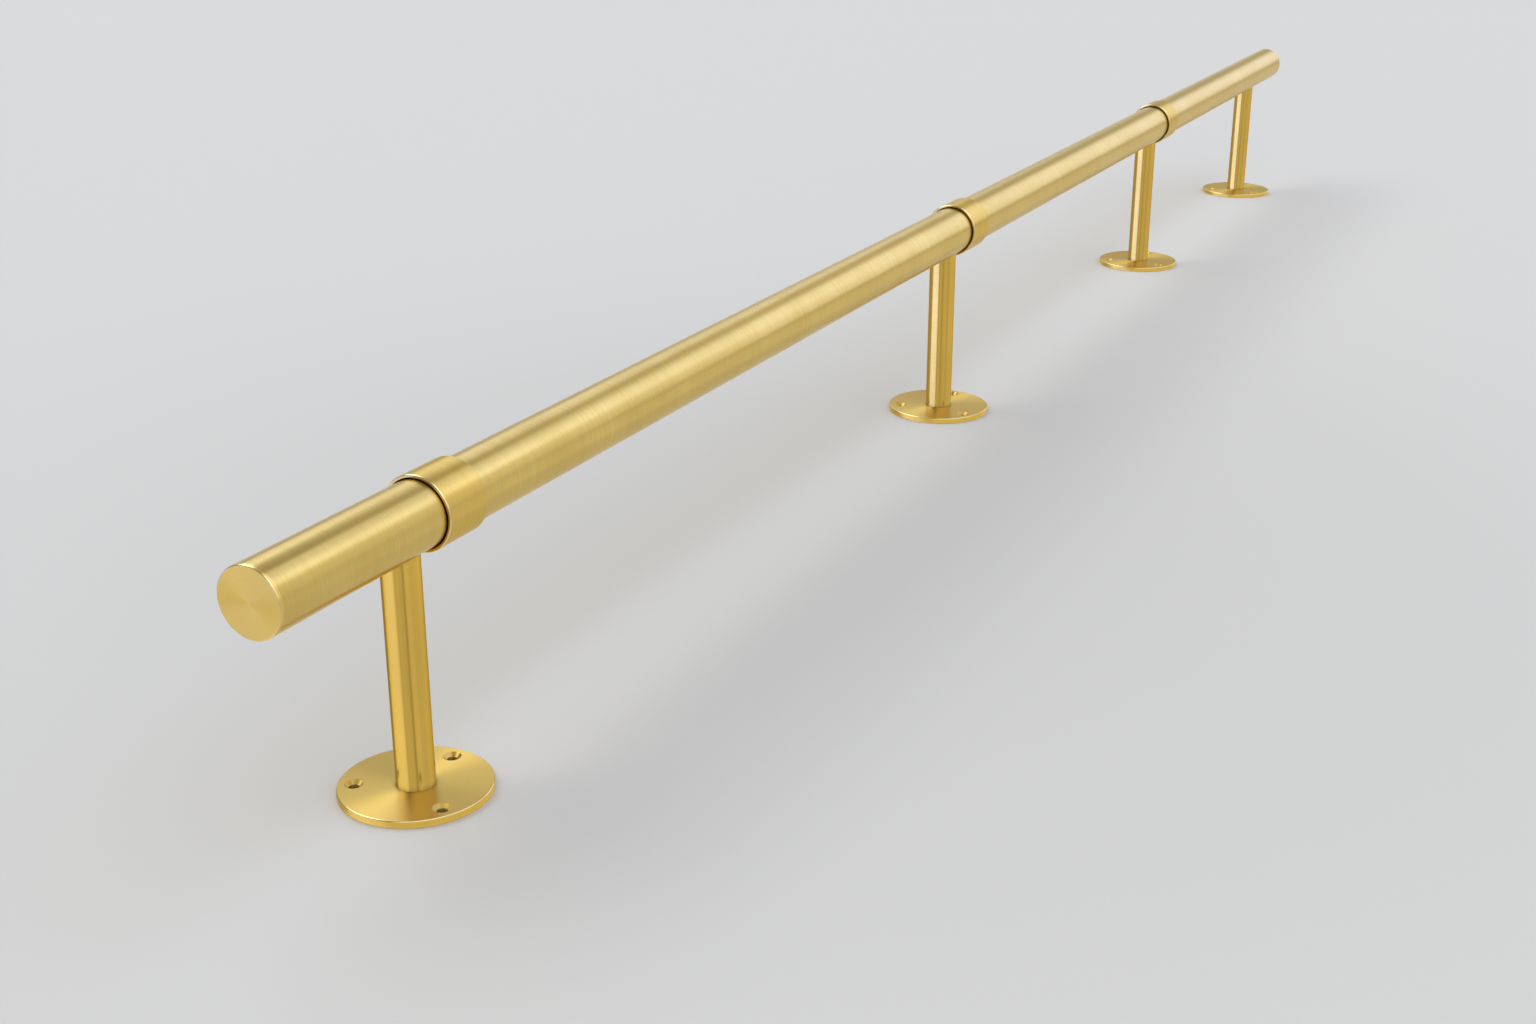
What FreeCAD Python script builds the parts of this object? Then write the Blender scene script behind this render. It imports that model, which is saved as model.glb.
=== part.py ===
import FreeCAD, Part
import math
import os

# Bar foot rail: a round brass rail carried on four floor posts.
#
# Millimetres. +X runs along the rail from its near end to its far end, +Z is up, and the
# origin is on the floor under the middle of the rail.
#
# How it goes together, from the floor up:
#   base_flange     round floor plate: three countersunk screw holes and a seat for the post
#   post_tube       upright tube, square at the foot and coped to the rail at the top
#   tie_bolts       long countersunk bolts that clamp flange, post and rail together
#   saddle_nuts     round-backed nuts inside the rail that take the tie bolts
#   rail_tube       the rail in four lengths, each on a post of its own
#   splice_sleeves  sleeves inside the butt joints that line the lengths up
#   joint_collar    sleeve over a butt joint, opened at its mouth where the near length enters
#   joint_screws    grub screws that lock collar and sleeve to the far length
#   end_cap         flush cap pushed into each open end of the rail

# ---- driving dimensions -------------------------------------------------------------------
RAIL_OD = 50.8  # two inch tube
RAIL_WALL = 1.6
RAIL_HEIGHT = 203.0  # floor to rail axis
END_OVERHANG = 150.0  # outer post axis to the rail's end face
POST_SPACING = [1000.0, 800.0, 600.0]  # axis to axis, from the near end to the far end

POST_OD = 28.6  # 1 1/8 inch tube
POST_WALL = 2.0

FLANGE_OD = 112.0
FLANGE_THICK = 6.0
FLANGE_RIM = 1.2  # edge break of the top rim
SEAT_DEPTH = 1.0  # recess that the post's foot stands in
SEAT_PLAY = 0.2
SCREW_CIRCLE = 88.0  # diameter of the floor screw circle
SCREW_COUNT = 3  # the first on the rail's line, towards the far end
SCREW_HOLE_R = 4.2
SCREW_SINK_R = 7.0  # mouth of the 90 degree countersink

BOLT_R = 4.0  # M8
BOLT_LENGTH = 190.0
BOLT_HEAD_R = 8.0
BOLT_HEAD_RISE = 0.3  # floor to the face of the bolt head
BOLT_SOCKET = 5.0  # across flats
BOLT_SOCKET_DEPTH = 2.7
BOLT_CLEAR = 0.25
THREAD_PLAY = 0.02

NUT_LENGTH = 32.0
NUT_WIDTH = 26.0
NUT_THICK = 9.0
NUT_FIT = 0.05

BUTT_GAP = 0.6  # between the two tube ends in a joint
SPLICE_LENGTH = 50.0
SPLICE_WALL = 3.0
SPLICE_FIT = 0.08

COLLAR_OD = 57.2
COLLAR_LENGTH = 45.0
COLLAR_AFTER_POST = 22.0  # post axis to the collar's mouth
COLLAR_FIT = 0.05
COLLAR_LIP = 0.8  # edge break round the mouth
MOUTH_GAP = 0.9  # open gap round the tube at the mouth
MOUTH_DEPTH = 4.0

GRUB_R = 2.0  # M4
GRUB_LENGTH = 6.0
GRUB_SINK = 0.3
GRUB_SOCKET = 2.0  # across flats
GRUB_SOCKET_DEPTH = 1.5
GRUB_AFTER_BUTT = 11.0
GRUB_CLEAR = 0.2

CAP_THICK = 2.2
CAP_RIM = 1.0  # edge break round the face
CAP_SPIGOT = 12.0
CAP_FIT = 0.02

# ---- sizes that follow --------------------------------------------------------------------
RAIL_R = RAIL_OD / 2
RAIL_BORE_R = RAIL_R - RAIL_WALL
POST_R = POST_OD / 2
POST_BORE_R = POST_R - POST_WALL
COLLAR_R = COLLAR_OD / 2

RAIL_LENGTH = sum(POST_SPACING) + 2 * END_OVERHANG
NEAR_END = -RAIL_LENGTH / 2
FAR_END = RAIL_LENGTH / 2
POST_X = [NEAR_END + END_OVERHANG + sum(POST_SPACING[:i]) for i in range(len(POST_SPACING) + 1)]
COLLAR_X = [x + COLLAR_AFTER_POST for x in POST_X[:-1]]
BUTT_X = [x + COLLAR_LENGTH / 2 for x in COLLAR_X]
GRUB_X = [x + GRUB_AFTER_BUTT for x in BUTT_X]

ORIGIN = FreeCAD.Vector(0, 0, 0)
X = FreeCAD.Vector(1, 0, 0)
Z = FreeCAD.Vector(0, 0, 1)


# ---- helpers ------------------------------------------------------------------------------
def turned(profile):
    """Solid of revolution about Z from the (radius, z) corners of half its section."""
    corners = [FreeCAD.Vector(radius, 0, z) for radius, z in [*profile, profile[0]]]
    return Part.Face(Part.makePolygon(corners)).revolve(ORIGIN, Z, 360)


def tube(outer_r, inner_r, length):
    return turned([(inner_r, 0), (outer_r, 0), (outer_r, length), (inner_r, length)])


def hexagon(across_flats, depth):
    """Hexagonal prism about Z, from z = 0 upwards."""
    radius = across_flats / math.sqrt(3)
    turns = [math.radians(60 * i) for i in range(7)]
    corners = [FreeCAD.Vector(radius * math.cos(a), radius * math.sin(a), 0) for a in turns]
    return Part.Face(Part.makePolygon(corners)).extrude(Z * depth)


def on_rail(shape, x):
    """Lays a shape made about +Z along the rail's axis, with its z = 0 plane at x."""
    laid = shape.copy()
    laid.Placement = FreeCAD.Placement(FreeCAD.Vector(x, 0, RAIL_HEIGHT), FreeCAD.Rotation(Z, X))
    return laid


def bored_from_below(shape, radius, x):
    """Cuts a hole from the floor side up to the rail's axis."""
    return shape.cut(Part.makeCylinder(radius, RAIL_HEIGHT, FreeCAD.Vector(x, 0, 0)))


def at_each(shape, places):
    """One group of copies of a shape, moved along the rail."""
    return Part.makeCompound([shape.translated(X * x) for x in places])


# ---- post ---------------------------------------------------------------------------------
def base_flange():
    seat_r = POST_R + SEAT_PLAY
    hole_r = BOLT_R + BOLT_CLEAR
    disc = turned([
        (BOLT_HEAD_R + BOLT_HEAD_RISE, 0),
        (FLANGE_OD / 2, 0),
        (FLANGE_OD / 2, FLANGE_THICK - FLANGE_RIM),
        (FLANGE_OD / 2 - FLANGE_RIM, FLANGE_THICK),
        (seat_r, FLANGE_THICK),
        (seat_r, FLANGE_THICK - SEAT_DEPTH),
        (hole_r, FLANGE_THICK - SEAT_DEPTH),
        (hole_r, BOLT_HEAD_RISE + BOLT_HEAD_R - hole_r),
    ])
    screw_hole = turned([
        (0, 0),
        (SCREW_HOLE_R, 0),
        (SCREW_HOLE_R, FLANGE_THICK - SCREW_SINK_R + SCREW_HOLE_R),
        (SCREW_SINK_R, FLANGE_THICK),
        (0, FLANGE_THICK),
    ]).translated(X * (SCREW_CIRCLE / 2))
    turns = [360 / SCREW_COUNT * i for i in range(SCREW_COUNT)]
    return disc.cut([screw_hole.rotated(ORIGIN, Z, turn) for turn in turns])


def post_tube():
    """Upright tube whose top is coped so that its wall sits all round on the rail."""
    foot = FLANGE_THICK - SEAT_DEPTH
    upright = tube(POST_R, POST_BORE_R, RAIL_HEIGHT - foot).translated(Z * foot)
    rail = Part.makeCylinder(RAIL_R, 2 * POST_OD, FreeCAD.Vector(-POST_OD, 0, RAIL_HEIGHT), X)
    return upright.cut(rail)


def tie_bolt():
    """Countersunk bolt, head down, whose cone draws up against the flange."""
    tip = BOLT_HEAD_RISE + BOLT_LENGTH
    bolt = turned([
        (0, BOLT_HEAD_RISE),
        (BOLT_HEAD_R, BOLT_HEAD_RISE),
        (BOLT_R, BOLT_HEAD_RISE + BOLT_HEAD_R - BOLT_R),
        (BOLT_R, tip),
        (0, tip),
    ])
    return bolt.cut(hexagon(BOLT_SOCKET, BOLT_SOCKET_DEPTH).translated(Z * BOLT_HEAD_RISE))


def saddle_nut():
    """Block with a round back that lies along the bottom of the rail's bore."""
    start = FreeCAD.Vector(-NUT_LENGTH / 2, 0, RAIL_HEIGHT)
    bar = Part.makeCylinder(RAIL_BORE_R - NUT_FIT, NUT_LENGTH, start, X)
    corner = FreeCAD.Vector(-NUT_LENGTH / 2, -NUT_WIDTH / 2, RAIL_HEIGHT - RAIL_BORE_R)
    block = Part.makeBox(NUT_LENGTH, NUT_WIDTH, NUT_THICK, corner)
    return bored_from_below(bar.common(block), BOLT_R + THREAD_PLAY, 0)


def post_nodes():
    nodes = {}
    for number, x in enumerate(POST_X, 1):
        nodes[f"base_flange_{number}"] = base_flange().translated(X * x)
        nodes[f"post_tube_{number}"] = post_tube().translated(X * x)
    nodes["tie_bolts"] = at_each(tie_bolt(), POST_X)
    nodes["saddle_nuts"] = at_each(saddle_nut(), POST_X)
    return nodes


# ---- rail ---------------------------------------------------------------------------------
def end_cap():
    """Flush cap about Z: its face at z = 0 and its spigot above it."""
    spigot_r = RAIL_BORE_R - CAP_FIT
    return turned([
        (0, 0),
        (RAIL_R - CAP_RIM, 0),
        (RAIL_R, CAP_RIM),
        (RAIL_R, CAP_THICK),
        (spigot_r, CAP_THICK),
        (spigot_r, CAP_THICK + CAP_SPIGOT),
        (0, CAP_THICK + CAP_SPIGOT),
    ])


def rail_nodes():
    """The lengths of rail, drilled for their tie bolts and grub screws, and the end caps."""
    starts = [NEAR_END + CAP_THICK, *(x + BUTT_GAP / 2 for x in BUTT_X)]
    ends = [*(x - BUTT_GAP / 2 for x in BUTT_X), FAR_END - CAP_THICK]
    nodes = {}
    for i, (start, end) in enumerate(zip(starts, ends)):
        length = on_rail(tube(RAIL_R, RAIL_BORE_R, end - start), start)
        length = bored_from_below(length, BOLT_R + BOLT_CLEAR, POST_X[i])
        if i > 0:
            length = bored_from_below(length, GRUB_R + GRUB_CLEAR, GRUB_X[i - 1])
        nodes[f"rail_tube_{i + 1}"] = length
    nodes["end_cap_near"] = on_rail(end_cap(), NEAR_END)
    nodes["end_cap_far"] = on_rail(end_cap().mirror(ORIGIN, Z), FAR_END)
    return nodes


# ---- joints between the lengths -----------------------------------------------------------
def joint_collar():
    """Sleeve about the rail's axis with its mouth at x = 0 and a close bore behind it."""
    bore_r = RAIL_R + COLLAR_FIT
    collar = turned([
        (RAIL_R + MOUTH_GAP, 0),
        (COLLAR_R - COLLAR_LIP, 0),
        (COLLAR_R, COLLAR_LIP),
        (COLLAR_R, COLLAR_LENGTH),
        (bore_r, COLLAR_LENGTH),
        (bore_r, MOUTH_DEPTH),
    ])
    grub_x = COLLAR_LENGTH / 2 + GRUB_AFTER_BUTT
    return bored_from_below(on_rail(collar, 0), GRUB_R + THREAD_PLAY, grub_x)


def splice_sleeve():
    """Inner sleeve centred on x = 0."""
    outer_r = RAIL_BORE_R - SPLICE_FIT
    sleeve = on_rail(tube(outer_r, outer_r - SPLICE_WALL, SPLICE_LENGTH), -SPLICE_LENGTH / 2)
    return bored_from_below(sleeve, GRUB_R + GRUB_CLEAR, GRUB_AFTER_BUTT)


def grub_screw():
    """Grub screw, socket down, threaded in the collar with its tip in the splice sleeve."""
    screw = Part.makeCylinder(GRUB_R, GRUB_LENGTH)
    screw = screw.cut(hexagon(GRUB_SOCKET, GRUB_SOCKET_DEPTH))
    return screw.translated(Z * (RAIL_HEIGHT - COLLAR_R + GRUB_SINK))


def joint_nodes():
    nodes = {}
    for number, x in enumerate(COLLAR_X, 1):
        nodes[f"joint_collar_{number}"] = joint_collar().translated(X * x)
    nodes["splice_sleeves"] = at_each(splice_sleeve(), BUTT_X)
    nodes["joint_screws"] = at_each(grub_screw(), GRUB_X)
    return nodes


def main():
    os.makedirs("parts", exist_ok=True)
    for name, shape in {**post_nodes(), **rail_nodes(), **joint_nodes()}.items():
        if not shape.isValid() or shape.Volume <= 0:
            raise ValueError(f"{name} isn't a valid solid")
        shape.exportStep(f"parts/{name}.step")
        print(f"{name}: {len(shape.Solids)} solid(s), {shape.Volume / 1000:.1f} cm3")


main()
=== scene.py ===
import math

import bmesh
import bpy
from mathutils import Matrix, Vector


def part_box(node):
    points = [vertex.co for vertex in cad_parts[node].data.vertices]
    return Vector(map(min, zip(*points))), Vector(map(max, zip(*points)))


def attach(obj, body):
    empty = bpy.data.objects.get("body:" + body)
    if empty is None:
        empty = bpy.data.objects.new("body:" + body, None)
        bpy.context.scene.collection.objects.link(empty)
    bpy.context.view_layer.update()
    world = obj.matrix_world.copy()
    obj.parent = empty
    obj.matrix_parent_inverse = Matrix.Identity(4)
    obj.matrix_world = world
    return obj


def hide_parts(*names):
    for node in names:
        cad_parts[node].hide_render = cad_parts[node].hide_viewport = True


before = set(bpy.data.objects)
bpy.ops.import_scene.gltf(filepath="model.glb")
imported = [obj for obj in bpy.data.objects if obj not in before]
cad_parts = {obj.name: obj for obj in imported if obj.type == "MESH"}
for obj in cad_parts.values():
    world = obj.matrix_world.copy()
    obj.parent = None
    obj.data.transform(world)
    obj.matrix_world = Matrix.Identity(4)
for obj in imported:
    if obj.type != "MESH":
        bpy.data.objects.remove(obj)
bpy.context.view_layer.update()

# Bar foot rail in brushed, lacquered brass. Metres, in the frame of the CAD model.

MM = 0.001
SEGMENTS = 192  # round a turned piece
ARC_STEPS = 8  # in a rounded edge
SMOOTH_BELOW = math.radians(32)
ON_AXIS = 1e-6  # a ring with less radius than this is one point

# ---- sizes read from the frame -----------------------------------------------------------
rail_low, rail_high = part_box("rail_tube_1")
RAIL_R = (rail_high.z - rail_low.z) / 2
RAIL_Z = (rail_high.z + rail_low.z) / 2
post_low, post_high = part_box("post_tube_1")
POST_R = (post_high.x - post_low.x) / 2
FOOT_Z = post_low.z
flange_low, flange_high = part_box("base_flange_1")
FLANGE_R = (flange_high.x - flange_low.x) / 2
FLANGE_TOP = flange_high.z
collar_low, collar_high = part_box("joint_collar_1")
COLLAR_R = (collar_high.z - collar_low.z) / 2
COLLAR_LENGTH = collar_high.x - collar_low.x
cap_low, cap_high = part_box("end_cap_near")
CAP_DEPTH = cap_high.x - cap_low.x
POSTS = [sum((corner.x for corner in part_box(f"post_tube_{i}")), 0.0) / 2 for i in range(1, 5)]

# ---- sizes of the details ----------------------------------------------------------------
RAIL_WALL = 1.6 * MM
POST_WALL = 2.0 * MM
TUBE_EDGE = 0.3 * MM
RIM_ROUND = 1.1 * MM
UNDER_ROUND = 0.8 * MM
SEAT_R = POST_R + 0.2 * MM
SEAT_EDGE = 0.25 * MM
BOLT_HOLE_R = 4.25 * MM
BOLT_SINK_R = 8.3 * MM
SCREW_CIRCLE_R = 44.0 * MM
SCREW_HOLE_R = 4.2 * MM
SCREW_SINK_R = 7.0 * MM
SCREWS = 3
SCREW_TURNS = [2 * math.pi * k / SCREWS for k in range(SCREWS)]
SCREW_PLACES = [
    (SCREW_CIRCLE_R * math.cos(turn), SCREW_CIRCLE_R * math.sin(turn)) for turn in SCREW_TURNS
]
COLLAR_BORE_R = RAIL_R + 0.05 * MM
MOUTH_R = RAIL_R + 0.9 * MM
MOUTH_DEPTH = 4.0 * MM
LIP_ROUND = 1.1 * MM
LIP_INNER_ROUND = LIP_ROUND / 3
TAIL_ROUND = 1.4 * MM
GRUB_HOLE_R = 2.02 * MM
GRUB_AFTER_MOUTH = 33.5 * MM
CAP_THICK = 2.2 * MM
CAP_ROUND = 1.2 * MM
SPIGOT_R = RAIL_R - RAIL_WALL - 0.02 * MM


# ---- meshes ------------------------------------------------------------------------------
def rounded(corners):
    """Closed (radius, height) outline. A corner's third value, if any, rounds it."""
    outline = []
    for i, corner in enumerate(corners):
        here = Vector(corner[:2])
        if len(corner) < 3:
            outline.append(here)
            continue
        before = (Vector(corners[i - 1][:2]) - here).normalized()
        after = (Vector(corners[(i + 1) % len(corners)][:2]) - here).normalized()
        half = before.angle(after) / 2
        reach = corner[2] / math.tan(half)
        centre = here + (before + after).normalized() * (corner[2] / math.sin(half))
        start = here + before * reach - centre
        end = here + after * reach - centre
        sweep = start.angle_signed(end)
        for step in range(ARC_STEPS + 1):
            turn = -sweep * step / ARC_STEPS
            outline.append(centre + Matrix.Rotation(turn, 2) @ start)
    return outline


def turned(name, corners, along_x=False):
    """Mesh object turned about its own Z or X from a closed outline."""
    outline = rounded(corners)
    verts = []
    rings = []
    for radius, height in outline:
        count = 1 if radius < ON_AXIS else SEGMENTS
        rings.append(range(len(verts), len(verts) + count))
        for k in range(count):
            angle = 2 * math.pi * k / SEGMENTS
            y, z = radius * math.cos(angle), radius * math.sin(angle)
            verts.append((height, y, z) if along_x else (y, z, height))
    faces = []
    for ring, following in zip(rings, rings[1:] + rings[:1]):
        for k in range(SEGMENTS):
            n = (k + 1) % SEGMENTS
            a, b = ring[k % len(ring)], ring[n % len(ring)]
            c, d = following[n % len(following)], following[k % len(following)]
            face = list(dict.fromkeys((a, b, c, d)))
            if len(face) > 2:
                faces.append(face)
    return mesh_object(name, verts, faces)


def mesh_object(name, verts, faces):
    mesh = bpy.data.meshes.new(name)
    mesh.from_pydata([tuple(v) for v in verts], [], faces)
    mesh.validate()
    obj = bpy.data.objects.new(name, mesh)
    bpy.context.scene.collection.objects.link(obj)
    outwards(obj)
    return obj


def outwards(obj):
    """Makes every face look outwards."""
    bm = bmesh.new()
    bm.from_mesh(obj.data)
    bmesh.ops.recalc_face_normals(bm, faces=bm.faces)
    bm.to_mesh(obj.data)
    bm.free()


def cut(obj, cutters):
    """Cuts the cutters out of the object's mesh and removes them."""
    for cutter in cutters:
        tool = obj.modifiers.new("cut", "BOOLEAN")
        tool.operation = "DIFFERENCE"
        tool.solver = "EXACT"
        tool.object = cutter
    bpy.context.view_layer.update()
    evaluated = obj.evaluated_get(bpy.context.evaluated_depsgraph_get())
    result = bpy.data.meshes.new_from_object(evaluated)
    obj.modifiers.clear()
    obj.data = result
    for cutter in cutters:
        bpy.data.objects.remove(cutter)


def smooth(obj):
    """Smooth shading with sharp corners kept and flat faces left flat."""
    obj.data.shade_smooth()
    obj.data.set_sharp_from_angle(angle=SMOOTH_BELOW)
    weighted = obj.modifiers.new("flat faces stay flat", "WEIGHTED_NORMAL")
    weighted.keep_sharp = True


def finished(obj, node, material, place):
    """Puts a piece in the place of its CAD node, with its finish."""
    smooth(obj)
    obj.location = place
    obj.data.materials.clear()
    obj.data.materials.append(material)
    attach(obj, "root")
    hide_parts(node)


# ---- nodes -------------------------------------------------------------------------------
class Graph:
    """Short ways to add shader nodes to one tree."""

    def __init__(self, tree):
        self.tree = tree
        tree.nodes.clear()

    def add(self, kind, inputs=None, **settings):
        node = self.tree.nodes.new(kind)
        for key, value in settings.items():
            setattr(node, key, value)
        for key, value in (inputs or {}).items():
            self.put(node.inputs[key], value)
        return node

    def put(self, socket, value):
        if isinstance(value, bpy.types.NodeSocket):
            self.tree.links.new(value, socket)
        else:
            socket.default_value = value

    def math(self, operation, *values):
        node = self.add("ShaderNodeMath", operation=operation)
        for socket, value in zip(node.inputs, values):
            self.put(socket, value)
        return node.outputs[0]

    def vector(self, operation, first, second):
        node = self.add("ShaderNodeVectorMath", {0: first, 1: second}, operation=operation)
        return node.outputs[0]

    def ramp(self, value, low, high, to_low=0.0, to_high=1.0):
        """Smooth change of a value between two limits."""
        inputs = {"Value": value, 1: low, 2: high, 3: to_low, 4: to_high}
        return self.add("ShaderNodeMapRange", inputs, interpolation_type="SMOOTHSTEP").outputs[0]

    def noise(self, vector, scale, detail=2.0):
        inputs = {"Vector": vector, "Scale": scale, "Detail": detail}
        return self.add("ShaderNodeTexNoise", inputs).outputs["Fac"]

    def mix(self, factor, first, second, blend="MIX"):
        inputs = {"Factor": factor, 6: first, 7: second}
        node = self.add("ShaderNodeMix", inputs, data_type="RGBA", blend_type=blend)
        return node.outputs[2]


def material(name):
    made = bpy.data.materials.new(name)
    made.use_nodes = True
    return made, Graph(made.node_tree)


# ---- brass -------------------------------------------------------------------------------
BRASS = (0.70, 0.51, 0.16, 1.0)
COLLAR_BRASS = (0.72, 0.495, 0.13, 1.0)
CAP_BRASS = (0.65, 0.43, 0.076, 1.0)
POST_BRASS = (0.79, 0.505, 0.092, 1.0)
# Painted shade: the flange brass is a darker copy that dims the flange tops.
FLANGE_BRASS_SHADED = (0.54, 0.365, 0.083, 1.0)
# Painted light: a brighter, more orange tone for the sides of turned rims, for the light they
# catch.
RIM_SIDE_PAINTED_LIGHT = (0.82, 0.53, 0.09, 1.0)
BRASS_DEEP = (0.58, 0.39, 0.095, 1.0)
# Paler brass for worn edges, which is also a painted highlight.
BRASS_PALE_HIGHLIGHT = (0.90, 0.76, 0.44, 1.0)
# Dark tarnish colour for the joints, which also serves as painted shade in holes and along the
# floor.
TARNISH_AND_SHADE = (0.16, 0.10, 0.03, 1.0)
EDGE_TINT = (0.85, 0.75, 0.50, 1.0)
PALE_EDGE_TINT = (0.88, 0.82, 0.67, 1.0)
DEEP_EDGE_TINT = (0.58, 0.46, 0.25, 1.0)

# Brush lines, and the blotches in the lacquer.
LINE_PITCH = 0.8 * MM
LINE_LENGTH = 80 * MM
BROAD_LINES = (0.23, 0.6, 0.6)
BROAD_HEIGHT = 0.6
BLOTCHES = 14.0
NOISE_SPAN = (0.3, 0.7)
SOFT_NOISE_SPAN = (0.35, 0.65)
# The most that each turns the colour towards BRASS_DEEP, or towards the dark tarnish colour
# in the joints, holes and along the floor, which is partly painted shade.
BLOTCH_MIX = 0.25
FINE_MIX = 0.16
BROAD_MIX = 0.10
TARNISH_AND_SHADE_MIX = 0.7
TARNISH_AND_SHADE_WITHIN = 7 * MM
RIM_BEGINS = 3 * MM  # in from the rim's radius
RIM_FULL = 2 * MM
WORN_ROUGHNESS = 0.16
BUMP_STRENGTH = 0.04
BUMP_HEIGHT = 0.02 * MM
LACQUER = 0.15
LACQUER_ROUGHNESS = 0.12


def brass(name, axis, roughness=0.24, anisotropy=0.55, depth=1.0, tone=BRASS, rim=None, wear_and_highlight=0.6,
          edge_tint=EDGE_TINT):
    """Brushed brass whose brush lines run round the axis. Worn edges are paler, which is
    also a painted highlight; joints, holes and feet are darker, partly tarnish and partly painted
    shade. With a rim's radius it is for a flat face turned about the axis: the lines are rings,
    only the rim wears, and the rim's side gets a brighter tone as painted light."""
    made, g = material(name)
    texture = g.add("ShaderNodeTexCoord")
    coords = texture.outputs["Object"]
    place = g.add("ShaderNodeObjectInfo").outputs["Location"]
    index = "XYZ".index(axis)
    if rim:
        flat = g.vector("MULTIPLY", coords, tuple(float(n != index) for n in range(3)))
        radius = g.add("ShaderNodeVectorMath", {0: flat}, operation="LENGTH").outputs["Value"]
        split = g.add("ShaderNodeSeparateXYZ", {0: coords}).outputs
        across = g.math("ADD", radius, split[index])
        along = g.vector("SCALE", flat, (0, 0, 0))
        along.node.inputs["Scale"].default_value = 1 / LINE_LENGTH
        pitches = g.math("DIVIDE", across, LINE_PITCH)
        rings = g.add("ShaderNodeCombineXYZ", {0: pitches}).outputs[0]
        lines_at = g.vector("ADD", rings, along)
    else:
        scale = [1 / LINE_LENGTH] * 3
        scale[index] = 1 / LINE_PITCH
        lines_at = g.vector("MULTIPLY", coords, tuple(scale))
    lines_at = g.vector("ADD", lines_at, place)
    fine = g.noise(lines_at, 1.0, 3.0)
    broad = g.noise(g.vector("MULTIPLY", lines_at, BROAD_LINES), 1.0, 2.0)
    blotch = g.noise(g.vector("ADD", coords, place), BLOTCHES, 3.0)

    # Worn where the surface turns from round to flat, also a painted highlight; darker in the
    # joints and along the floor, partly tarnish and partly painted shade.
    facing = g.add("ShaderNodeSeparateXYZ", {0: texture.outputs["Normal"]}).outputs[index]
    facing = g.math("ABSOLUTE", facing)
    worn_and_highlight = g.math("MULTIPLY", g.ramp(facing, 0.10, 0.35), g.ramp(facing, 0.92, 0.985, 1.0, 0.0))
    if rim:
        at_rim = g.ramp(radius, rim - RIM_BEGINS, rim - RIM_FULL)
        worn_and_highlight = g.math("MULTIPLY", worn_and_highlight, at_rim)
    # Painted shade: ambient occlusion, the floor included, darkens joints, holes and contact
    # lines; in the joints it also stands for tarnish.
    occlusion = g.add("ShaderNodeAmbientOcclusion", {"Distance": TARNISH_AND_SHADE_WITHIN}, samples=8)
    tarnish_and_shade = g.ramp(occlusion.outputs["AO"], 0.85, 0.25)

    colour = g.mix(g.ramp(blotch, *SOFT_NOISE_SPAN, 0.0, BLOTCH_MIX), tone, BRASS_DEEP)
    fine_mix = g.ramp(fine, *NOISE_SPAN, 0.0, FINE_MIX * depth)
    colour = g.mix(fine_mix, colour, BRASS_DEEP)
    broad_mix = g.ramp(broad, *SOFT_NOISE_SPAN, 0.0, BROAD_MIX * depth)
    colour = g.mix(broad_mix, colour, BRASS_DEEP)
    if rim:
        # Painted light: the rim's side is mixed towards a brighter tone for the light it catches.
        side = g.math("MULTIPLY", at_rim, g.ramp(facing, 0.35, 0.05))
        colour = g.mix(side, colour, RIM_SIDE_PAINTED_LIGHT)
    # Painted highlight: worn edges are mixed towards the pale brass, as well as being worn.
    colour = g.mix(g.math("MULTIPLY", worn_and_highlight, wear_and_highlight), colour, BRASS_PALE_HIGHLIGHT)
    colour = g.mix(g.math("MULTIPLY", tarnish_and_shade, TARNISH_AND_SHADE_MIX), colour, TARNISH_AND_SHADE)

    rough = g.ramp(fine, *NOISE_SPAN, roughness - 0.02, roughness + 0.03)
    rough = g.math("ADD", rough, g.ramp(blotch, *NOISE_SPAN, -0.02, 0.02))
    rough = g.math("SUBTRACT", rough, g.math("MULTIPLY", worn_and_highlight, roughness - WORN_ROUGHNESS))

    height = g.math("ADD", fine, g.math("MULTIPLY", broad, BROAD_HEIGHT))
    bump = g.add("ShaderNodeBump", {
        "Strength": BUMP_STRENGTH * depth,
        "Distance": BUMP_HEIGHT,
        "Height": height,
    })
    tangent = g.add("ShaderNodeTangent", direction_type="RADIAL", axis=axis)
    shader = g.add("ShaderNodeBsdfPrincipled", {
        "Base Color": colour,
        "Metallic": 1.0,
        "Roughness": rough,
        "Specular Tint": edge_tint,
        "Anisotropic": anisotropy,
        "Anisotropic Rotation": 0.25,
        "Tangent": tangent.outputs[0],
        "Normal": bump.outputs[0],
        "Coat Weight": LACQUER,
        "Coat Roughness": LACQUER_ROUGHNESS,
    })
    g.add("ShaderNodeOutputMaterial", {"Surface": shader.outputs[0]})
    return made


ZINC_DARK = (0.50, 0.50, 0.50, 1.0)
ZINC_PALE = (0.66, 0.66, 0.64, 1.0)
ZINC_CLOUDS = 400.0


def steel(name):
    """Bright zinc plating for screws."""
    made, g = material(name)
    coords = g.add("ShaderNodeTexCoord").outputs["Object"]
    cloud = g.noise(coords, ZINC_CLOUDS, 3.0)
    colour = g.mix(cloud, ZINC_DARK, ZINC_PALE)
    bump = g.add("ShaderNodeBump", {"Strength": 0.1, "Distance": BUMP_HEIGHT, "Height": cloud})
    shader = g.add("ShaderNodeBsdfPrincipled", {
        "Base Color": colour,
        "Metallic": 1.0,
        "Roughness": g.ramp(cloud, *NOISE_SPAN, 0.28, 0.42),
        "Normal": bump.outputs[0],
    })
    g.add("ShaderNodeOutputMaterial", {"Surface": shader.outputs[0]})
    return made


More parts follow.
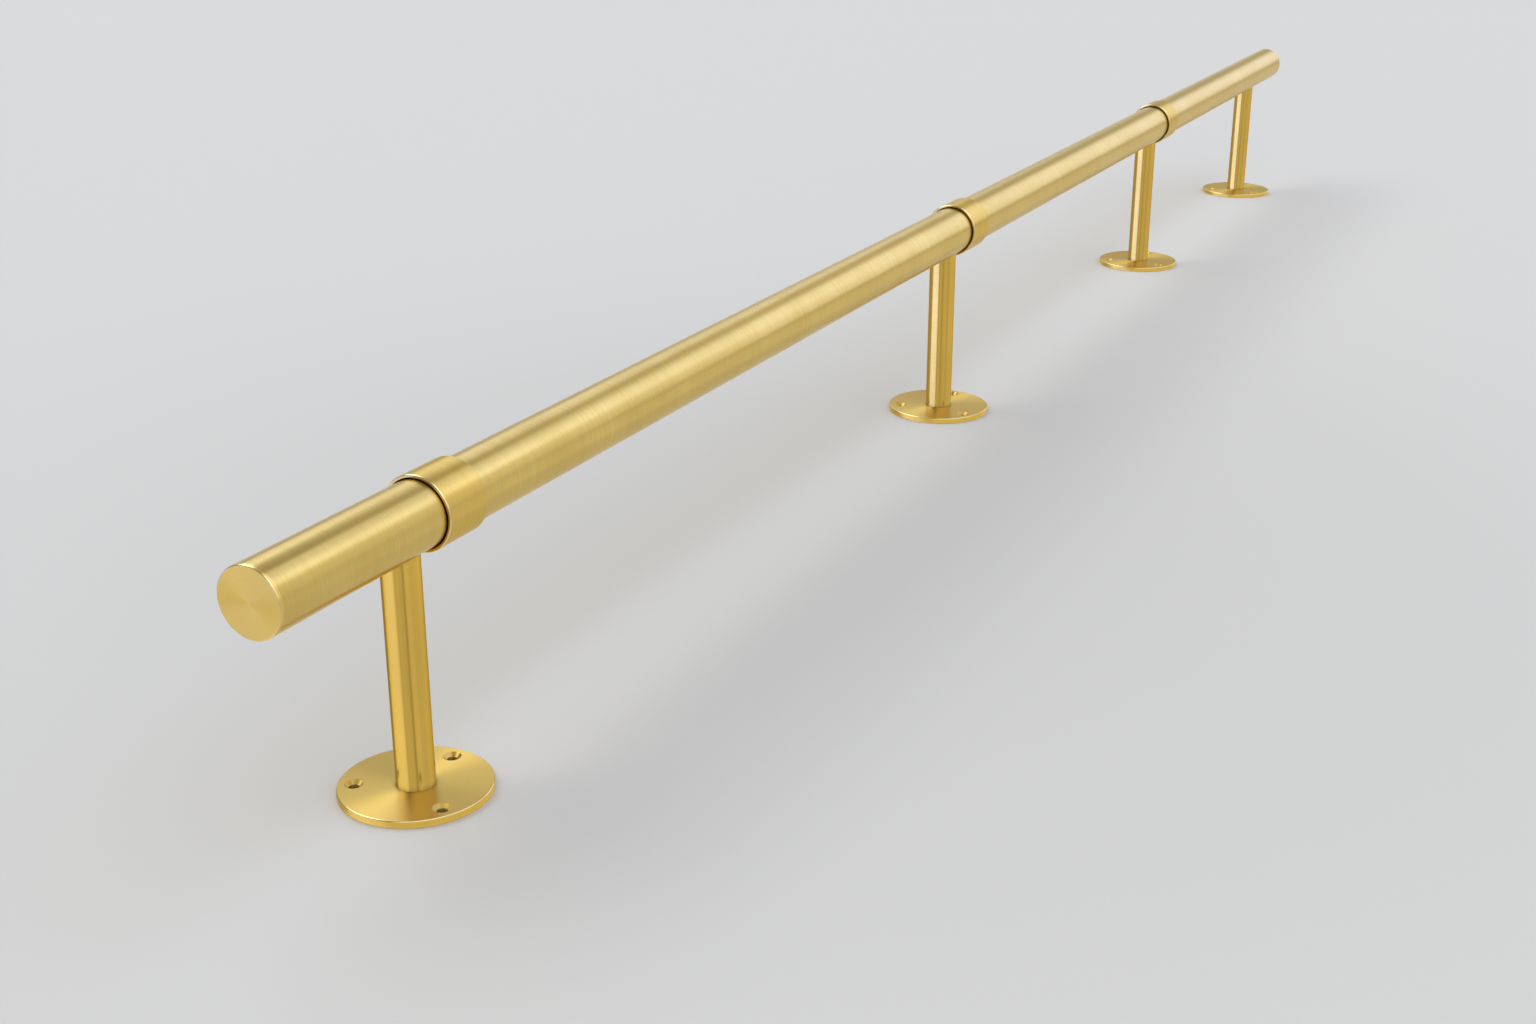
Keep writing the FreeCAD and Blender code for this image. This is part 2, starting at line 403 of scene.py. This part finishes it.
rail_brass = brass("rail_brass", "X", depth=1.8, edge_tint=PALE_EDGE_TINT)
collar_brass = brass("collar_brass", "X", depth=1.6, tone=COLLAR_BRASS)
cap_brass = brass("cap_brass", "X", roughness=0.34, anisotropy=0.7, tone=CAP_BRASS, rim=RAIL_R)
post_brass = brass("post_brass", "Z", roughness=0.21, anisotropy=0.2, depth=0.25, tone=POST_BRASS,
                   edge_tint=DEEP_EDGE_TINT)
flange_brass = brass("flange_brass", "Z", roughness=0.40, anisotropy=0.85, tone=FLANGE_BRASS_SHADED,
                     rim=FLANGE_R, wear_and_highlight=0.4)
inner_brass = brass("inner_brass", "X", roughness=0.35, anisotropy=0.0)
screw_steel = steel("screw_steel")


# ---- pieces ------------------------------------------------------------------------------
def flange(number, x):
    top = FLANGE_TOP
    disc = turned(f"flange_{number}", [
        (BOLT_SINK_R, 0),
        (FLANGE_R, 0, UNDER_ROUND),
        (FLANGE_R, top, RIM_ROUND),
        (SEAT_R, top, SEAT_EDGE),
        (SEAT_R, FOOT_Z),
        (BOLT_HOLE_R, FOOT_Z),
        (BOLT_HOLE_R, BOLT_SINK_R - BOLT_HOLE_R),
    ])
    cutters = []
    for k, place in enumerate(SCREW_PLACES):
        cutter = turned(f"screw_hole_{k}", [
            (0, -top),
            (SCREW_HOLE_R, -top),
            (SCREW_HOLE_R, top - SCREW_SINK_R + SCREW_HOLE_R),
            (SCREW_SINK_R + top, 2 * top),
            (0, 2 * top),
        ])
        cutter.location = (*place, 0)
        cutters.append(cutter)
    cut(disc, cutters)
    finished(disc, f"base_flange_{number}", flange_brass, (x, 0, 0))
    disc.visible_glossy = False  # the posts mirror the studio down to their feet


def post(number, x):
    """Tube whose top edge follows the rail."""
    inner = POST_R - POST_WALL
    verts, faces = [], []
    for k in range(SEGMENTS):
        angle = 2 * math.pi * k / SEGMENTS
        for radius, end in ((POST_R, "top"), (POST_R, "foot"), (inner, "foot"), (inner, "top")):
            y = radius * math.sin(angle)
            z = RAIL_Z - math.sqrt(RAIL_R**2 - y**2) if end == "top" else FOOT_Z
            verts.append((radius * math.cos(angle), y, z))
    for k in range(SEGMENTS):
        here, following = 4 * k, 4 * ((k + 1) % SEGMENTS)
        for side in range(4):
            n = (side + 1) % 4
            faces.append((here + side, following + side, following + n, here + n))
    tube = mesh_object(f"post_{number}", verts, faces)
    finished(tube, f"post_tube_{number}", post_brass, (x, 0, 0))


def rail_length(number):
    low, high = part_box(f"rail_tube_{number}")
    length = high.x - low.x
    inner = RAIL_R - RAIL_WALL
    tube = turned(f"rail_{number}", [
        (inner, 0),
        (RAIL_R, 0, TUBE_EDGE),
        (RAIL_R, length, TUBE_EDGE),
        (inner, length),
    ], along_x=True)
    finished(tube, f"rail_tube_{number}", rail_brass, (low.x, 0, RAIL_Z))


def collar(number):
    low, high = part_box(f"joint_collar_{number}")
    sleeve = turned(f"collar_{number}", [
        (MOUTH_R, 0, LIP_INNER_ROUND),
        (COLLAR_R, 0, LIP_ROUND),
        (COLLAR_R, COLLAR_LENGTH, TAIL_ROUND),
        (COLLAR_BORE_R, COLLAR_LENGTH),
        (COLLAR_BORE_R, MOUTH_DEPTH),
    ], along_x=True)
    hole = turned("grub_hole", [
        (0, -2 * COLLAR_R),
        (GRUB_HOLE_R, -2 * COLLAR_R),
        (GRUB_HOLE_R, 0),
        (0, 0),
    ])
    hole.location = (GRUB_AFTER_MOUTH, 0, 0)
    cut(sleeve, [hole])
    finished(sleeve, f"joint_collar_{number}", collar_brass, (low.x, 0, RAIL_Z))


def end_cap(which):
    """Cap whose face looks out of the rail's end."""
    low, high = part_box(f"end_cap_{which}")
    cap = turned(f"cap_{which}", [
        (0, 0),
        (RAIL_R, 0, CAP_ROUND),
        (RAIL_R, CAP_THICK),
        (SPIGOT_R, CAP_THICK),
        (SPIGOT_R, CAP_DEPTH),
        (0, CAP_DEPTH),
    ], along_x=True)
    at = low.x
    if which == "far":
        cap.data.transform(Matrix.Rotation(math.pi, 4, "Z"))
        at = high.x
    finished(cap, f"end_cap_{which}", cap_brass, (at, 0, RAIL_Z))


for number, x in enumerate(POSTS, 1):
    flange(number, x)
    post(number, x)
    rail_length(number)
for number in range(1, len(POSTS)):
    collar(number)
for which in ("near", "far"):
    end_cap(which)

# The inner nodes keep their CAD mesh.
for node, finish in {
    "tie_bolts": screw_steel,
    "joint_screws": screw_steel,
    "saddle_nuts": inner_brass,
    "splice_sleeves": inner_brass,
}.items():
    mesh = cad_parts[node].data
    mesh.materials.clear()
    mesh.materials.append(finish)


# ---- floor -------------------------------------------------------------------------------
FLOOR_HALF = 400.0
FLOOR = (0.565, 0.541, 0.472, 1.0)
# Painted shadow: the floor is darker round a point under the rail, for the rail's broad soft
# shadow.
FLOOR_PAINTED_SHADE = (0.515, 0.493, 0.430, 1.0)
PAINTED_SHADE_AT = (-0.6, -0.1, 0.0)
PAINTED_SHADE_ENDS = (0.1, 1.4)  # distance over which it turns into the rest
# Painted shade: dark discs on the floor at the bottom of the flanges' screw holes.
HOLE_SHADE = (0.10, 0.06, 0.025, 1.0)
HOLE_SHADE_R = SCREW_HOLE_R + 1 * MM
HOLE_SHADE_Z = 0.3 * MM


def paint(name, colour, painted_shade=None):
    """Matt paint, which may turn darker round the middle of the floor as a painted shadow."""
    made, g = material(name)
    if painted_shade:
        coords = g.add("ShaderNodeTexCoord").outputs["Object"]
        away = g.add("ShaderNodeVectorMath", {0: coords, 1: PAINTED_SHADE_AT}, operation="DISTANCE")
        colour = g.mix(g.ramp(away.outputs["Value"], *PAINTED_SHADE_ENDS), painted_shade, colour)
    shader = g.add("ShaderNodeBsdfPrincipled", {
        "Base Color": colour,
        "Roughness": 0.8,
        "Specular IOR Level": 0.2,
    })
    g.add("ShaderNodeOutputMaterial", {"Surface": shader.outputs[0]})
    return made


def stage_disc(name, x, y, shade_paint):
    """Dark disc for the bottom of a hole drilled in the floor: its darkness is painted shade."""
    turns = [2 * math.pi * k / SEGMENTS for k in range(SEGMENTS)]
    ring = [(x + HOLE_SHADE_R * math.cos(t), y + HOLE_SHADE_R * math.sin(t), HOLE_SHADE_Z) for t in turns]
    disc = mesh_object(name, ring, [range(SEGMENTS)])
    disc.data.materials.append(shade_paint)


def floor():
    """Pale floor, drilled under the flanges, with a painted shadow round its middle; the drill
    holes are dark discs of painted shade. Reflections show the studio's lower half instead.
    """
    signs = ((-1, -1), (1, -1), (1, 1), (-1, 1))
    corners = [(along * FLOOR_HALF, across * FLOOR_HALF, 0) for along, across in signs]
    plane = mesh_object("floor", corners, [range(4)])
    plane.data.materials.append(paint("floor_paint_and_shade", FLOOR, FLOOR_PAINTED_SHADE))
    plane.visible_glossy = False
    plane.visible_shadow = False
    shade_paint = paint("painted_hole_shade", HOLE_SHADE)
    for number, x in enumerate(POSTS, 1):
        for k, (along, across) in enumerate(SCREW_PLACES):
            stage_disc(f"drilled_hole_{number}_{k}", x + along, across, shade_paint)


floor()


# ---- light -------------------------------------------------------------------------------
# Colours of light. The cool ones make highlights that are paler than the brass.
COOL = (1.0, 1.09, 1.42)
COOLER = (1.0, 1.11, 1.62)
CLEAR = (1.0, 1.22, 3.2)
PLAIN = (1.0, 1.0, 0.95)
HAZE = (1.01, 1.02, 1.04)  # where the far floor ends
SKY = (0.43, 0.43, 0.395, 1.0)
GROUND = (0.46, 0.46, 0.43, 1.0)
HORIZON_SOFT = math.radians(2)
# Soft panels and dark cards, each in front of the ones before it. Angles in degrees: azimuth
# from +X, half width, soft edge, elevation, half height, soft edge; then brightness and colour.
BEHIND = [
    (235.0, 65.0, 20.0, 42.0, 42.0, 10.0, 0.36, PLAIN),
    (8.0, 9.0, 8.0, 31.0, 8.0, 6.0, 0.82, PLAIN),
    (14.0, 13.0, 8.0, 12.0, 8.0, 8.0, 0.60, PLAIN),
]
# Long soft boxes parallel to the rail: angle round the rail from +Y over the top, half width
# and soft edge; then brightness and colour.
STRIPS = [
    (153.5, 15.5, 13.0, 1.10, PLAIN),
    (121.0, 12.0, 15.0, 1.48, COOL),
    (186.0, 3.0, 5.0, 0.50, PLAIN),
]
PANELS = [
    (39.0, 17.0, 12.0, 26.0, 8.0, 10.0, 1.18, COOL),
    (-14.0, 9.0, 11.0, 17.0, 10.0, 9.0, 1.36, COOLER),
    (-47.0, 9.0, 8.0, 10.0, 10.0, 8.0, 0.82, PLAIN),
    (-18.0, 9.0, 8.0, 45.0, 6.0, 8.0, 0.95, COOL),
    (62.0, 18.0, 12.0, 54.0, 12.0, 12.0, 2.50, COOL),
    (13.0, 10.0, 8.0, 48.0, 6.0, 6.0, 0.42, PLAIN),
    (106.0, 17.0, 12.0, 50.0, 10.0, 10.0, 4.20, PLAIN),
    (0.0, 52.0, 20.0, -45.0, 42.0, 10.0, 0.73, PLAIN),
    (-22.0, 12.0, 10.0, -13.0, 6.0, 8.0, 0.88, PLAIN),
    (136.0, 36.0, 10.0, -56.0, 34.0, 3.0, 1.06, PLAIN),
    (141.0, 27.0, 4.0, -9.0, 8.0, 3.0, 1.38, CLEAR),
    (241.5, 56.5, 4.0, -45.0, 42.0, 10.0, 0.67, PLAIN),
    (250.0, 10.0, 8.0, -26.0, 6.0, 4.0, 0.78, PLAIN),
    (257.0, 7.0, 6.0, -12.0, 5.0, 4.0, 0.54, PLAIN),
    (291.0, 10.0, 8.0, -12.0, 5.0, 6.0, 0.74, PLAIN),
    (227.0, 3.0, 4.0, -26.0, 5.0, 3.0, 0.28, PLAIN),
    (210.0, 3.0, 4.0, -15.5, 2.5, 3.0, 0.30, PLAIN),
    (203.0, 3.0, 4.0, -10.0, 2.0, 2.5, 0.30, PLAIN),
    (0.0, 180.0, 1.0, 0.0, 1.0, 1.5, 0.70, HAZE),
]


def band(g, angle, centre, half, soft):
    """1 within half the width from the centre, falling to 0 over the soft edge."""
    off = g.math("SUBTRACT", angle, math.radians(centre))
    off = g.math("ABSOLUTE", g.math("WRAP", off, math.pi, -math.pi))
    return g.ramp(off, math.radians(half), math.radians(half + soft), 1.0, 0.0)


def shone(brightness, colour):
    return (*(brightness * part for part in colour), 1.0)


def panels(g, light, azimuth, elevation, shapes):
    """The light with the panels and cards laid over it."""
    for around, half, soft, up, half_height, soft_height, brightness, colour in shapes:
        across = band(g, azimuth, around, half, soft)
        upright = band(g, elevation, up, half_height, soft_height)
        panel = g.math("MULTIPLY", across, upright)
        light = g.mix(panel, light, shone(brightness, colour))
    return light


def studio():
    """A grey surround with long soft boxes along the rail, and soft panels and cards round it."""
    world = bpy.data.worlds.new("studio")
    world.use_nodes = True
    bpy.context.scene.world = world
    g = Graph(world.node_tree)
    direction = g.add("ShaderNodeTexCoord").outputs["Generated"]
    x, y, z = g.add("ShaderNodeSeparateXYZ", {0: direction}).outputs
    round_rail = g.math("ARCTAN2", z, y)
    azimuth = g.math("ARCTAN2", y, x)
    elevation = g.math("ARCSINE", z)
    above = g.ramp(elevation, -HORIZON_SOFT, HORIZON_SOFT)
    light = g.mix(above, GROUND, SKY)
    light = panels(g, light, azimuth, elevation, BEHIND)
    for centre, half, soft, brightness, colour in STRIPS:
        strip = band(g, round_rail, centre, half, soft)
        light = g.mix(strip, light, shone(brightness, colour))
    light = panels(g, light, azimuth, elevation, PANELS)
    lit = g.add("ShaderNodeBackground", {"Color": light, "Strength": 1.0})
    g.add("ShaderNodeOutputWorld", {"Surface": lit.outputs[0]})


studio()

# ---- camera ------------------------------------------------------------------------------
CAMERA_AT = (-2.178125, -0.768534, 0.67365)
CAMERA_YAW = math.radians(26.511)  # of the view, from +X towards +Y
CAMERA_PITCH = math.radians(20.751)  # downwards
CAMERA_LENS = 45.195
CAMERA_SENSOR = 36.0

camera_data = bpy.data.cameras.new("camera")
camera_data.lens = CAMERA_LENS
camera_data.sensor_width = CAMERA_SENSOR
camera_data.clip_end = 1.5 * FLOOR_HALF
camera = bpy.data.objects.new("camera", camera_data)
camera.location = CAMERA_AT
camera.rotation_euler = (math.pi / 2 - CAMERA_PITCH, 0, CAMERA_YAW - math.pi / 2)
bpy.context.scene.collection.objects.link(camera)
bpy.context.scene.camera = camera
bpy.context.scene.view_settings.view_transform = "Standard"
